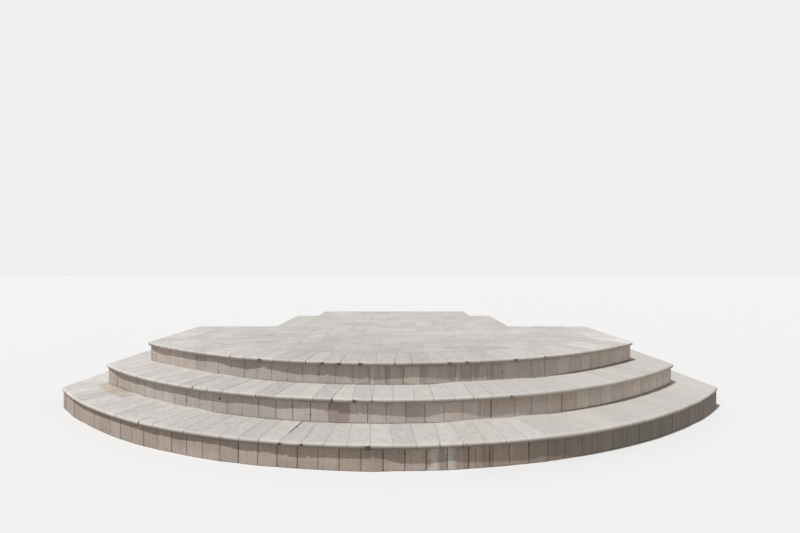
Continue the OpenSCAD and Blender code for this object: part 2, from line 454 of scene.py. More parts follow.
class StoneMaker:  # cut stones with their own outlines, all in one mesh
    def __init__(self, name, material, settings, seed):
        self.name, self.material, self.settings = name, material, settings
        self.bm = bmesh.new()
        self.dice = random.Random(seed)
        layers = self.bm.verts.layers
        self.tone, self.edge, self.chipped = (layers.float.new(n) for n in ("stoneTone", "edge", "chipped"))
        self.grain = layers.float_vector.new("stoneGrain")

    def levels(self, thick, upright):  # height, inset of an arris and inset of a nose, from the foot up
        arris = self.settings["arris"]
        if upright:
            marks = [inset for _, inset, _, _ in arrisPoints(arris)]
            marks = marks + [thick / 2] + [thick - m for m in reversed(marks)]
        else:
            turns = self.settings["turns"]
            marks = [thick / 2 * (1 - math.cos(math.pi * i / turns)) for i in range(turns + 1)]
        rows = []
        for z in marks:
            near = min(z, thick - z)
            joint = arris - math.sqrt(max(0.0, arris ** 2 - (arris - near) ** 2)) if near < arris else 0.0
            nose = thick / 2 - math.sqrt(max(0.0, (thick / 2) ** 2 - (thick / 2 - z) ** 2))
            rows.append((z, joint, nose))
        return rows

    def add(self, outline, nosed, base, thick, gap, upright=False):
        # outline runs counterclockwise, nosed holds the numbers of its rounded sides
        count = len(outline)
        centre = sum(outline, Vector((0, 0))) / count
        sides = [0.0 if i in nosed else gap / 2 for i in range(count)]
        drop = self.dice.random() * self.settings["settle"]
        tilt = Vector((self.dice.random() - 0.5, self.dice.random() - 0.5)) * self.settings["tilt"]
        tone, _, *scatter = (self.dice.random() for _ in range(5))
        scatter = Vector([s * grainSpread for s in scatter])
        rings = []
        for z, joint, nose in self.levels(thick, upright):
            shifts = [sides[i] + (nose if i in nosed else joint) for i in range(count)]
            ring = []
            for p in movedOutline(outline, shifts):
                sunk = drop + abs((p - centre).dot(tilt)) if z > thick * 0.5 else 0.0
                vert = self.bm.verts.new((p.x, p.y, base + z - sunk))
                vert[self.tone] = tone
                vert[self.grain] = Vector((p.x - centre.x, p.y - centre.y, z)) + scatter
                vert[self.edge] = 1.0 if joint > 0 else 0.3
                ring.append(vert)
            rings.append(ring)
        for face in closeRings(self.bm, rings)[:-2]:
            face.smooth = True

    def finish(self):
        mesh = toMesh(self.bm, self.name)
        mesh.materials.append(self.material)
        return toPiece(self.name, mesh)


def joinPieces(name, pieces):
    first = pieces[0]
    with bpy.context.temp_override(active_object=first, object=first, selected_objects=pieces,
                                   selected_editable_objects=pieces):
        bpy.ops.object.join()
    first.name = name
    first.data.name = name
    return first


def dress(piece, slot, *nodes):  # lets a piece stand for its nodes
    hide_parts(*nodes)
    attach(piece, "root")


# nickShade darkens the nicks: painted shade in the broken edge
nick = {"top": flight["slab"] * 0.62, "course": 0.03, "nickShade": 2.9}


def breakEdge(piece, base, reach, breaks):
    # nicks in the lower edge of a nose: degrees from the middle line, width and depth in millimetres
    chipped = piece.data.attributes["chipped"].data
    for vert in piece.data.vertices:
        height = vert.co.z - base
        out = Vector((vert.co.x, vert.co.y - arcY))
        if height > nick["top"] or out.length < reach - nick["course"]:
            continue
        angle = math.degrees(math.atan2(out.x, -out.y))
        for place, width, depth in breaks:
            share = abs(angle - place) * math.radians(reach) * 2000 / width
            if share < 1:
                bite = (1 - share ** 2) * (1 - height / nick["top"]) ** 0.5
                vert.co.xy -= out.normalized() * depth / 1000 * bite
                # painted shade: the nick is darkened through the chipped attribute
                chipped[vert.index].value = nick["nickShade"]


# Materials


def newMaterial(name):
    material = bpy.data.materials.new(name)
    material.use_nodes = True
    tree = material.node_tree
    return material, Graph(tree), tree.nodes["Principled BSDF"]


def finishSurface(g, shader, colour, roughness, relief, strength, distance, specular):
    bump = g.node("ShaderNodeBump", {"Strength": strength, "Distance": distance, "Height": relief})
    for name, wire in (("Base Color", colour), ("Roughness", roughness), ("Normal", bump)):
        g.tree.links.new(wire.socket, shader.inputs[name])
    shader.inputs["Specular IOR Level"].default_value = specular


class Coat:  # a stone's colour while it is painted, with its place on the steps and its own patterns
    def __init__(self, g, colour, place, cloud, fine=None, speck=None, edge=None):
        self.g, self.colour, self.place = g, colour, place
        self.cloud, self.fine, self.speck, self.edge = cloud, fine, speck, edge
        self.x, self.y, self.height = g.split(place)
        back = arcY - self.y
        self.angle = g.maths("ARCTAN2", self.x, back) * math.degrees(1)  # from the middle line, to the right
        self.reach = g.maths("SQRT", self.x * self.x + back * back)  # from the arcs' centre

    def cover(self, share, colour):
        self.colour = self.g.mix(share, self.colour, colour)

    def tone(self, change):
        self.colour = self.colour * (1 + change)


def stoneSurface(name, look, paint=None):
    material, g, shader = newMaterial(name)
    grain = g.node("ShaderNodeAttribute", out=1, attribute_name="stoneGrain")
    tone, edge, chipped = (g.node("ShaderNodeAttribute", out=2, attribute_name=attribute)
                           for attribute in ("stoneTone", "edge", "chipped"))
    place = g.node("ShaderNodeTexCoord", out=3)
    cloud = g.noise(grain, look["cloudScale"], 5.0, 0.62)
    broad = g.noise(grain * look["broadStreak"], 1.0, 2.0, 0.5)
    fine = g.noise(grain * look["fineStreak"], 1.0, 3.0, 0.6)
    speck = g.noise(grain, look["speckScale"], 3.0, 0.7)
    blotch = g.noise(grain, look["blotchScale"], 3.0, 0.55, 0.4)
    weather = g.noise(place, 1.9, 4.0, 0.6)
    value = 1.0
    for pattern, depth in ((tone, "toneSpread"), (cloud, "cloud"), (weather, "weather"), (blotch, "blotch"),
                           (broad, "broadDepth"), (fine, "fineDepth"), (speck, "speck")):
        value = value + (pattern - 0.5) * look[depth]
    # dirt along arrises and in chips; the nicks from breakEdge add painted shade here
    dirtAndShade = edge * (0.3 + cloud) * look["edgeDirt"] + chipped * look["chipDirtAndShade"]
    cells = g.node("ShaderNodeTexVoronoi", {"Vector": grain, "Scale": look["pitScale"]})
    pits = (1 - cells.above(look["pitSize"], 0.12)) * cloud.above(0.42, 0.2)
    value = value * (1 - dirtAndShade) * (1 - pits * look["pits"])
    base = g.mix(g.chance(tone * 91.7), look["cool"], look["warm"])
    base = g.mix(weather.above(0.5, 0.22) * look["stainShare"], base, look["stain"])
    coat = Coat(g, base * value, place, cloud, fine, speck, edge)
    if paint:
        paint(coat)
    roughness = look["roughness"] + (speck - 0.5) * 0.2 + (cloud - 0.5) * 0.12
    relief = cloud * 0.5 + speck * 0.35 + fine * look["streakRelief"] + broad * 0.2 - pits * 0.8
    finishSurface(g, shader, coat.colour, roughness, relief, look["relief"], 0.002, 0.25)
    return material


def plainSurface(name, look, paint=None):
    material, g, shader = newMaterial(name)
    place = g.node("ShaderNodeTexCoord", out=3)
    cloud = g.noise(place, look["cloudScale"], 5.0, 0.6)
    speck = g.noise(place, look["speckScale"], 3.0, 0.7)
    value = 1.0 + (cloud - 0.5) * look["cloud"] + (speck - 0.5) * look["speck"]
    coat = Coat(g, g.mix(cloud, look["cool"], look["warm"]) * value, place, cloud)
    if paint:
        paint(coat)
    roughness = look["roughness"] + (speck - 0.5) * 0.15
    finishSurface(g, shader, coat.colour, roughness, cloud * 0.4 + speck * 0.6, 0.5, 0.003, 0.2)
    return material


# What lies on the stones: dirt, damp and lime, and painted light and shade where noted. Places are given in degrees
# from the middle line, in metres from the arcs' centre and in metres over the ground.
inLowestStep = 0.2  # what lies under this height belongs to the bottom step
# colour of the painted shade along the foot of a riser
footShade = (0.12, 0.097, 0.08)


def underNose(coat):  # painted highlight on the rounded front of each nose; the nose's lower half is darker and browner, partly dirt and partly painted shade
    below = coat.g.maths("MODULO", 3 * flight["rise"] + 0.0004 - coat.height, flight["rise"])
    # painted highlight: a lighter band on the rounded front of the nose
    noseHighlight = below.within(0.0035, 0.0095, 0.0015)
    coat.cover(noseHighlight * 0.3, (0.66, 0.60, 0.545))
    coat.tone(noseHighlight * 0.10)
    # the lower half of the nose: brown dirt and painted shade
    coat.cover(below.above(0.0105, 0.010) * (0.43 + coat.cloud * 0.18), (0.285, 0.228, 0.178))


def treadPaint(coat):
    angle, reach = coat.angle, coat.reach
    underNose(coat)
    lowest = coat.height < inLowestStep
    soil = angle.within(-42.0, -34.5, 1.5) * reach.within(3.34, 3.43, 0.05) * lowest
    soil = soil * (coat.cloud * 0.6 + coat.fine * 0.5).above(0.38, 0.22)
    coat.cover(soil * 0.70, (0.40, 0.325, 0.235))
    pale = (-angle).above(37.5, 3.0) + angle.within(-37.0, -30.0, 2.5) * (1 - lowest) * 0.7
    dull = angle.within(-22.0, -11.0, 4.0) + angle.within(27.0, 34.0, 4.0) * lowest * 2.2
    coat.tone(pale * 0.12)
    coat.tone(dull * -0.045)
    calm = angle.above(9.0, 9.0)
    coat.cover(calm * 0.5, (0.563, 0.535, 0.503))
    # painted shade: the back of the tread darker at the foot of the riser above it
    footShadow = reach.within(3.100, 3.110, 0.004) * (1 - lowest) * angle.within(-15.0, 0.0, 3.0)
    footShadow = footShadow + reach.within(3.360, 3.370, 0.004) * lowest * angle.within(-13.0, 3.0, 3.0)
    coat.tone(footShadow * -0.20)
    trodden = angle.within(-14.0, 16.0, 9.0) * coat.cloud.above(0.40, 0.3)
    coat.tone(trodden * -0.06)
    # edges on the right lighter: partly less edge dirt, partly painted light on the arrises
    cleanAndLitEdges = coat.edge * angle.above(10.0, 6.0) * lowest
    coat.tone(cleanAndLitEdges * 0.10)


def landingPaint(coat):
    x, y, angle, reach = coat.x, coat.y, coat.angle, coat.reach
    underNose(coat)
    coat.tone(angle.above(36.5, 2.0) * x.above(1.742, 0.006) * 0.12)
    inField = 1 - reach.above(2.83, 0.001)
    # nosing edges on the right lighter: partly less edge dirt, partly painted light on the arrises
    coat.tone(coat.edge * angle.above(10.0, 6.0) * (1 - inField) * 0.11)
    sweep = coat.g.noise(coat.place * (2.6, 8.5, 1.0), 1.0, 4.0, 0.6)
    coat.tone((sweep - 0.5) * inField * 0.56)
    worn = angle.within(3.5, 15.0, 2.5) * reach.above(2.80, 0.05)
    coat.tone(-worn * (0.03 + coat.cloud * 0.08))
    trodden = (1 - abs(x).above(0.5, 1.1)) * (1 - y.above(-0.9, 1.1)) * (0.6 + coat.cloud * 0.8)
    coat.tone(trodden * -0.10)
    spread = coat.g.noise(coat.place * (14.0, 38.0, 1.0), 1.0, 3.0, 0.65)
    near = x.within(-0.06, 0.24, 0.06) + x.within(0.42, 0.80, 0.08) * 0.8
    smudges = spread.above(0.44, 0.16) * near * y.within(-0.785, -0.735, 0.035)
    coat.cover(smudges * 0.55, (0.27, 0.25, 0.225))


def waterRuns(coat, acrossScale, heightScale):
    return coat.g.noise(coat.g.join(coat.angle * acrossScale, coat.reach * 2.0, coat.height * heightScale),
                        1.0, 3.0, 0.6)


def lowerPaint(coat):
    angle, height = coat.angle, coat.height
    runs = waterRuns(coat, 1.6, 2.5)
    pale = angle.within(-9.5, -3.92, 0.05)
    dark = angle.within(-2.06, 1.66, 0.05) + angle.within(-20.66, -15.08, 0.05)
    coat.tone((pale * 0.12 - dark * 0.13) * height.above(0.02, 0.05))
    damp = angle.above(8.2, 8.0) * (0.55 + runs * 0.9)
    wetStone = coat.g.mix(angle.above(11.0, 13.0), (0.262, 0.208, 0.168), (0.226, 0.219, 0.213))
    coat.cover(damp * 0.70, wetStone)
    brown = angle.within(5.9, 9.8, 0.8) * runs.above(0.42, 0.16)
    coat.cover(brown * 0.45, (0.21, 0.15, 0.115))
    drift = angle + (coat.cloud - 0.5) * 0.8 + (runs - 0.5) * 0.5
    besideLime = drift.within(4.75, 5.05, 0.25) + drift.within(6.55, 7.3, 0.3)
    coat.cover(besideLime * 0.28, (0.30, 0.215, 0.165))
    lime = drift.within(4.0, 4.3, 0.30) + drift.within(5.6 - height * 2.5, 5.85, 0.35) * (1.0 - height * 2.5)
    coat.cover(lime * 0.94 * coat.fine.above(0.10, 0.3), (0.71, 0.685, 0.665))


def middlePaint(coat):
    angle, height, cloud, speck = coat.angle, coat.height, coat.cloud, coat.speck
    brown = angle.within(-6.0, -4.08, 0.04)
    coat.cover(brown * 0.5, (0.27, 0.19, 0.15))
    gritty = angle.within(-0.04, 7.7, 0.5) * (speck * 0.6 + cloud * 0.4).above(0.45, 0.12)
    coat.cover(gritty * 0.22, (0.30, 0.240, 0.200))
    rubbed = angle.within(4.0, 9.0, 1.5) + angle.within(-1.0, 2.0, 1.5) * 0.5
    rubbed = rubbed + angle.within(-31.0, -28.0, 2.5) * 0.8
    coat.tone(rubbed * 0.15)
    rust = angle.within(12.0, 20.0, 3.0) * height.above(0.215, 0.04)
    coat.cover(rust * 0.26, (0.34, 0.245, 0.18))
    foot = 1 - height.above(0.205, 0.05)
    # painted light: the right part lighter, and its lower part more so, where bounced light falls
    coat.tone(angle.above(18.0, 22.0) * 0.10 + foot * angle.above(18.0, 8.0) * 0.12)
    coat.tone(foot * angle.within(-24.0, -14.0, 4.0) * -0.10)
    # painted shade: a dark line along the foot of the riser on the right, where it meets the tread
    soil = angle.above(18.0, 5.0) * (1 - height.above(0.1655, 0.006))
    coat.cover(soil * 0.62, footShade)
    # a hole in one stone, drawn only as a dark spot of painted shade
    across, up = (angle + 18.9) * 0.0587, height - 0.253
    holeShade = coat.g.maths("SQRT", across * across + up * up) + (speck - 0.5) * 0.006
    coat.cover((1 - holeShade.above(0.005, 0.009)) * 0.92, (0.045, 0.038, 0.032))
    green = angle.within(-39.0, -31.0, 3.0) * (1 - height.above(0.162, 0.03)) * cloud.above(0.38, 0.2)
    coat.cover(green * 0.5, (0.24, 0.225, 0.14))


def upperPaint(coat):
    angle, height = coat.angle, coat.height
    wet = angle.within(-3.0, 13.0, 2.0) * waterRuns(coat, 1.3, 1.5).above(0.46, 0.15)
    coat.cover(wet * 0.42, (0.25, 0.20, 0.165))
    coat.tone(angle.within(-19.0, -12.0, 3.0) * -0.07)
    # painted light: both ends of the riser lighter, where more sky light falls from the sides
    coat.tone(abs(angle).above(29.0, 5.0) * 0.08)
    # painted light: the shaded upper part at the left end painted lighter; the other two bands are tone
    paintedLightInShade = (-angle).above(30.0, 3.0) * height.above(0.37, 0.03)
    coat.tone(angle.within(-5.5, -1.0, 1.0) * 0.10 + paintedLightInShade * 0.12 - angle.within(13.0, 21.0, 3.0) * 0.06)
    # painted shade: a dark line along the foot of the riser on the right, where it meets the tread
    soil = angle.above(21.0, 6.0) * (1 - height.above(0.3255, 0.006))
    coat.cover(soil * 0.70, footShade)
    pale = angle.within(8.0, 17.0, 2.0) * height.within(0.338, 0.352, 0.008) * coat.speck.above(0.50, 0.10)
    coat.cover(pale * 0.5, (0.60, 0.575, 0.55))


def jointPaint(coat):  # one joint of the bottom tread has lost its mortar and is full of soil
    soil = coat.angle.within(-9.7, -8.4, 0.1) * (1 - coat.reach.above(3.530, 0.02)) * (coat.height < inLowestStep)
    coat.cover(soil * 0.93, (0.035, 0.028, 0.022))


treadLook = {
    "cool": (0.555, 0.538, 0.513), "warm": (0.571, 0.533, 0.505), "toneSpread": 0.17,
    "stain": (0.50, 0.472, 0.438), "stainShare": 0.35, "weather": 0.22,
    "cloudScale": 11.0, "cloud": 0.42, "blotchScale": 30.0, "blotch": 0.42, "speckScale": 130.0, "speck": 0.30,
    "broadStreak": (30.0, 5.0, 12.0), "broadDepth": 0.14, "fineStreak": (140.0, 9.0, 60.0), "fineDepth": 0.09,
    "edgeDirt": 0.10, "chipDirtAndShade": 0.30, "pits": 0.14, "pitScale": 80.0, "pitSize": 0.16,
    "roughness": 0.82, "relief": 0.35, "streakRelief": 0.3,
}
nosingLook = dict(treadLook, cool=(0.584, 0.559, 0.532), warm=(0.596, 0.557, 0.530))
pavingLook = dict(treadLook, cool=(0.594, 0.569, 0.536), warm=(0.602, 0.565, 0.532), toneSpread=0.11,
                  cloudScale=8.0, cloud=0.40, blotchScale=22.0, blotch=0.30)
riserLook = {
    "cool": (0.546, 0.487, 0.448), "warm": (0.560, 0.486, 0.439), "toneSpread": 0.13,
    "stain": (0.43, 0.375, 0.33), "stainShare": 0.35, "weather": 0.12,
    "cloudScale": 15.0, "cloud": 0.26, "blotchScale": 42.0, "blotch": 0.22, "speckScale": 125.0, "speck": 0.36,
    "broadStreak": (60.0, 9.0, 3.5), "broadDepth": 0.22, "fineStreak": (160.0, 20.0, 6.0), "fineDepth": 0.30,
    "edgeDirt": 0.18, "chipDirtAndShade": 0.45, "pits": 0.40, "pitScale": 62.0, "pitSize": 0.15,
    "roughness": 0.86, "relief": 0.5, "streakRelief": 0.7,
}
lowerLook = dict(riserLook, cool=(0.553, 0.472, 0.424), warm=(0.570, 0.471, 0.413), toneSpread=0.20,
                 broadDepth=0.32, fineDepth=0.36, blotch=0.30)
upperLook = dict(riserLook, cool=(0.530, 0.473, 0.434), warm=(0.544, 0.472, 0.423), toneSpread=0.18, edgeDirt=0.08)
facingLook = dict(riserLook, toneSpread=0.12, pits=0.2, chipDirtAndShade=0.12)
mortarLook = {"cool": (0.42, 0.395, 0.36), "warm": (0.47, 0.435, 0.39), "cloudScale": 20.0, "speckScale": 240.0,
              "cloud": 0.35, "speck": 0.3, "roughness": 0.95}
paleLook = dict(mortarLook, cool=(0.53, 0.508, 0.478), warm=(0.57, 0.54, 0.50))
darkLook = dict(mortarLook, cool=(0.22, 0.195, 0.17), warm=(0.30, 0.26, 0.22), cloud=0.5)
coreLook = {"cool": (0.38, 0.37, 0.35), "warm": (0.45, 0.43, 0.40), "cloudScale": 7.0, "speckScale": 150.0,
            "cloud": 0.25, "speck": 0.2, "roughness": 0.92}
treadStone = stoneSurface("treadStone", treadLook, treadPaint)
nosingStone = stoneSurface("nosingStone", nosingLook, landingPaint)
pavingStone = stoneSurface("pavingStone", pavingLook, landingPaint)
riserStones = [stoneSurface("upperRiserStone", upperLook, upperPaint),
               stoneSurface("middleRiserStone", riserLook, middlePaint),
               stoneSurface("lowerRiserStone", lowerLook, lowerPaint)]
facingStone = stoneSurface("facingStone", facingLook)
treadMortar = plainSurface("treadMortar", mortarLook, jointPaint)
paleMortar = plainSurface("paleMortar", paleLook)
riserMortar = plainSurface("riserMortar", darkLook)
coreConcrete = plainSurface("coreConcrete", coreLook)
for name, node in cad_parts.items():
    if name.endswith("_core"):
        node.data.materials.clear()
        node.data.materials.append(coreConcrete)
print("materials made")

# How far each tier's nose stands out over its riser, in millimetres, by degrees from the middle line.
# Part of the change is taken by the line of the noses, the rest by the line of the risers.
overhangs = [
    ((-40, 26), (-37, 33), (-36, 35), (-34, 31), (-30, 30), (-28, 29), (-26, 26), (-24, 27), (-22, 32), (-20, 35),
     (-18, 33), (-16, 28), (-14, 33), (-12, 38), (-10, 34), (-8, 34), (-4, 38), (0, 35), (2, 33), (4, 30), (6, 32),
     (10, 30), (12, 27), (16, 30), (20, 26), (24, 27), (28, 25), (32, 28), (36, 31), (40, 25)),
    ((-41, 16), (-38, 32), (-36, 33), (-32, 28), (-28, 31), (-24, 30), (-22, 32), (-20, 30), (-18, 31), (-16, 26),
     (-14, 26), (-12, 31), (-10, 27), (-8, 25), (-6, 28), (-4, 30), (0, 31), (2, 34), (4, 31), (6, 25), (8, 25),
     (10, 34), (14, 29), (18, 32), (22, 28), (26, 31), (30, 32), (34, 28), (37, 28), (41, 22)),
    ((-43, 10), (-38, 16), (-34, 22), (-27, 20), (-21, 24), (-17, 22), (-15, 21), (-13, 26), (-11, 25), (-9, 30),
     (-5, 29), (-3, 26), (-1, 24), (1, 34), (3, 33), (5, 28), (7, 31), (11, 30), (15, 27), (19, 31), (24, 27),
     (30, 23), (34, 18), (38, 12), (43, 8)),
]
widest = [38, 36, 32]
noseShare, riserForward, straightEnds = 0.4, 22, 35


def noseBows(tier):
    return [(angle, max(0.0, noseShare * (widest[tier] - over)) * (abs(angle) < straightEnds))
            for angle, over in overhangs[tier]]


def riserBows(tier):
    nominal = flight["overhang"] * 1000 - riserForward
    return [(angle, over + bow - nominal) for (angle, over), (angle, bow) in zip(overhangs[tier], noseBows(tier))]


cutStones = {"arris": 0.0014, "turns": 12, "settle": 0.0008, "tilt": 0.003}


def cornerOutline(corner, reach, sideX, side, steps=6):
    # from the inner corner out along the radial line, round the arc to the side, and back
    inner = Vector((corner[0], arcFront(*corner)))
    start = math.asin(corner[0] / corner[1])
    tip = math.asin(sideX / reach)
    arc = [arcPoint(start + (tip - start) * i / steps, reach) for i in range(steps + 1)]
    outline = [inner] + arc + [Vector((sideX, inner.y))]
    nosed = set(range(1, len(outline) - 1))
    if side < 0:
        outline = [Vector((-p.x, p.y)) for p in outline[::-1]]
        nosed = {(len(outline) - 2 - i) % len(outline) for i in nosed}
    return outline, nosed


def layTier(tier, settings, material, blanks, corner, reach, depth, cornerReaches, sideX, base, thick, upright):
    # the stones along the arc, the two corner stones and the stones along both sides, as one piece
    made = [arcCourse(settings["name"], blanks[0], settings, reach, depth, corner, base, material)]
    if "breaks" in settings:
        breakEdge(made[0], base, reach, settings["breaks"])
    corners = StoneMaker("corners", material, cutStones, settings["cornerSeed"] + tier)
    for side, cornerReach in zip((-1, 1), cornerReaches):
        outline, nosed = cornerOutline(corner, cornerReach, sideX, side)
        corners.add(outline, set() if upright else nosed, base, thick, settings["wear"]["Gap"], upright)
    made.append(corners.finish())
    innerY = arcFront(*corner)
    for name, start, way, seed in (("sideRight", (sideX, innerY), (0.0, 1.0), 0.0),
                                   ("sideLeft", (-sideX, backY), (0.0, -1.0), 10.0)):
        made.append(lineCourse(name, blanks[1], settings, start, way, backY - innerY, base, material,
                               settings["sideSeed"] + seed + tier))
    dress(joinPieces(settings["name"], made), settings["slot"], *(settings["nodes"] + p for p in settings["parts"]))


# Tread and nosing courses
treadWear = {"Gap": 0.0019, "Wander": 0.006, "Skew": 0.05, "Proud": 0.003, "Wave": 0.003, "Settle": 0.0008,
             "Rough": 0.0006, "Chips": 0.004}
treadRun = {"pitchOnLine": 0.31, "slot": "tread_stone", "arris": 0.0014, "cornerSeed": 100, "sideSeed": 51.0,
            "parts": ("left", "centre", "right", "side_left", "side_right")}
treads = [
    dict(treadRun, name="landingNosingStones", pitch=2.19, joint=0.80, slot="nosing_stone", nodes="landing_",
         parts=("nosing_left", "nosing_centre", "nosing_right", "edge_left", "edge_right"),
         wear=dict(treadWear, Seed=11.0, Chips=0.006),
         openings=((-45, 1.6), (-20, 1.6), (-12, 1.4), (8, 1.3), (16, 0.2), (45, 0.2)),
         breaks=((-16.6, 20, 22), (-8.08, 22, 14), (-5.97, 17, 20), (-3.37, 18, 22), (7.5, 20, 26), (9.7, 20, 24),
                 (16.3, 24, 14), (20.7, 18, 20))),
    dict(treadRun, name="middleTreadStones", pitch=2.085, joint=0.66, nodes="middle_tread_",
         wear=dict(treadWear, Seed=23.0),
         openings=((-45, 1.3), (-16, 1.3), (-8, 1.0), (10, 1.0), (18, 1.7), (45, 1.7)),
         breaks=((-5.6, 14, 7), (-3.32, 14, 9), (13.2, 16, 8))),
    dict(treadRun, name="bottomTreadStones", pitch=1.957, joint=0.717, nodes="bottom_tread_",
         wear=dict(treadWear, Seed=37.0, Wander=0.004), odd=(-9.1, -9.1, 0.006, 0.115),
         openings=((-45, 0.9), (-12, 1.0), (10, 1.0), (16, 0.4), (45, 0.4)),
         breaks=((-9.07, 20, 18), (-7.1, 22, 14), (-1.42, 20, 20))),
]
for tier, settings in enumerate(treads):
    x, r = treadCorner(tier)
    reach, arris = flight["radius"][tier], settings["arris"]
    blanks = [stoneBlank("treadBlank", bullnoseProfile(reach - r, 14), stoneColumns(arris, 3)),
              stoneBlank("sideBlank", bullnoseProfile(half[tier] - x, 10), stoneColumns(arris, 7))]
    settings["bows"] = noseBows(tier)
    layTier(tier, settings, nosingStone if tier == 0 else treadStone, blanks, (x, r), reach, reach - r,
            (reach, reach), half[tier], slabBase(tier), slabThick, False)
print("tread stones laid")

# Riser courses
riserWear = {"Gap": 0.0012, "Wander": 0.007, "Skew": 0.0, "Proud": 0.0022, "Wave": 0.003, "Settle": 0.0006,
             "Rough": 0.0008, "Chips": 0.003}
riserRun = dict(treadRun, pitchOnLine=0.116, slot="riser_stone", arris=0.0016, cornerSeed=200, sideSeed=151.0,
                foot=0.0012, head=0.004, sideForward=0.012)
risers = [
    dict(riserRun, name="landingRiserStones", pitch=2.128, joint=-0.178, nodes="landing_riser_",
         wear=dict(riserWear, Seed=71.0, Gap=0.0006),
         openings=((-45, 1.3), (-14, 1.2), (8, 1.0), (15, 0.4), (45, 0.4))),
    dict(riserRun, name="middleRiserStones", pitch=1.976, joint=-0.04, nodes="middle_riser_",
         wear=dict(riserWear, Seed=83.0, Gap=0.0008), odd=(11.8, 11.05, 0.004, -1.0),
         openings=((-45, 0.6), (-15, 0.6), (-8, 1.0), (12, 1.0), (18, 1.3), (45, 1.3))),
    dict(riserRun, name="bottomRiserStones", pitch=1.860, joint=-0.20, nodes="bottom_riser_",
         wear=dict(riserWear, Seed=97.0, Wander=0.004, Gap=0.0019), odd=(-13.22, -13.22, 0.0035, -1.0),
         openings=((-45, 0.85), (-12, 1.0), (10, 1.1), (16, 1.3), (45, 1.3))),
]
for tier, settings in enumerate(risers):
    radius, arris = flight["radius"][tier], settings["arris"]
    base = riserBase(tier) + settings["foot"]
    height = slabBase(tier) - base - settings["head"]
    depth = flight["riserDepth"] + riserForward / 1000
    sideDepth = flight["riserDepth"] + settings["sideForward"]
    blanks = [stoneBlank("riserBlank", uprightProfile(depth, height, arris, 9), stoneColumns(arris, 3)),
              stoneBlank("sideRiserBlank", uprightProfile(sideDepth, height, arris, 7), stoneColumns(arris, 3))]
    settings["bows"] = riserBows(tier)
    cornerReaches = [radius - overhangs[tier][end][1] / 1000 for end in (0, -1)]
    layTier(tier, settings, riserStones[tier], blanks, riserCorner(tier),
            radius - flight["overhang"] + riserForward / 1000, depth, cornerReaches,
            half[tier] - flight["sideOverhang"] + settings["sideForward"], base, height, True)
print("riser stones laid")

# Paving of the landing, the porch and the threshold, in columns that run back
paving = {"width": 0.169, "joint": -0.085, "length": 0.345, "spread": 0.07, "gap": 0.0009, "leastWidth": 0.05,
          "leastLength": 0.09, "columns": range(-12, 13), "from": -1.6, "to": 2.0, "seed": 300, "columnSeed": 77,
          "arcSteps": 5}
fieldHalf, fieldReach = treadCorner(0)
fieldStones = dict(cutStones, turns=6, arris=0.0010, settle=0.0007, tilt=0.002)


def columnEdges(halfWidth):
    inner = [paving["joint"] + paving["width"] * i for i in paving["columns"]]
    margin = paving["leastWidth"]
    return [-halfWidth] + [x for x in inner if margin - halfWidth < x < halfWidth - margin] + [halfWidth]


def layField(name, halfWidth, startY, endY, curved, *nodes):
    # the cuts of a column start in front of all the fields and end behind them
    field = StoneMaker(name, pavingStone, fieldStones, paving["seed"])
    edges = columnEdges(halfWidth)
    for x0, x1 in zip(edges, edges[1:]):
        dice = random.Random(round(x0 / paving["width"]) + paving["columnSeed"])
        cuts = [paving["from"] + dice.random() * paving["length"]]
        while cuts[-1] < paving["to"]:
            cuts.append(cuts[-1] + paving["length"] + (dice.random() - 0.5) * paving["spread"])
        nearest = max(arcFront(x0, fieldReach), arcFront(x1, fieldReach)) if curved else startY
        margin = paving["leastLength"]
        cuts = [startY] + [y for y in cuts if nearest + margin < y < endY - margin] + [endY]
        for i, (y0, y1) in enumerate(zip(cuts, cuts[1:])):
            front = [Vector((x0, y0)), Vector((x1, y0))]
            if i == 0 and curved:
                steps = [x0 + (x1 - x0) * s / paving["arcSteps"] for s in range(paving["arcSteps"] + 1)]
                front = [Vector((x, arcFront(x, fieldReach))) for x in steps]
            field.add(front + [Vector((x1, y1)), Vector((x0, y1))], set(), slabBase(0), slabThick, paving["gap"])
    dress(field.finish(), "paving_stone", *nodes)


layField("landingPavingStones", fieldHalf, arcFront(0, fieldReach), backY, True, "landing_paving_front",
         "landing_paving_back")
layField("porchPavingStones", porchHalf, backY, porchY, False, "porch_paving")
layField("thresholdPavingStones", thresholdHalf, porchY, thresholdY, False, "threshold_paving")
print("paving laid")

# Plain facing where the steps are built against other masonry, in three storeys
facing = {"pitchOnLine": 0.118, "arris": 0.0016, "seed": 400.0,
          "wear": dict(riserWear, Proud=0.001, Wave=0.0, Settle=0.0, Chips=0.002)}
facingNodes = {"backFacingLeft": "back_facing_left", "backFacingRight": "back_facing_right",
               "porchFacingLeft": "porch_facing_left", "porchFacingRight": "porch_facing_right",
               "thresholdFacing": "threshold_facing"}
storeys = [(0.0, slabBase(2)), (slabBase(2), slabBase(1)), (slabBase(1), slabBase(0))]
depth = flight["facingDepth"]
facingBlanks = [stoneBlank("facingBlank", uprightProfile(depth, z1 - z0, facing["arris"], 2, cutArris),
                           stoneColumns(facing["arris"], 1, cutArris)) for z0, z1 in storeys]
leftwards, backwards, forwards = (-1.0, 0.0), (0.0, 1.0), (0.0, -1.0)
sideLength, endLength, shoulder = porchY - backY, thresholdY - porchY, porchHalf - thresholdHalf
runs = {name: [] for name in facingNodes}
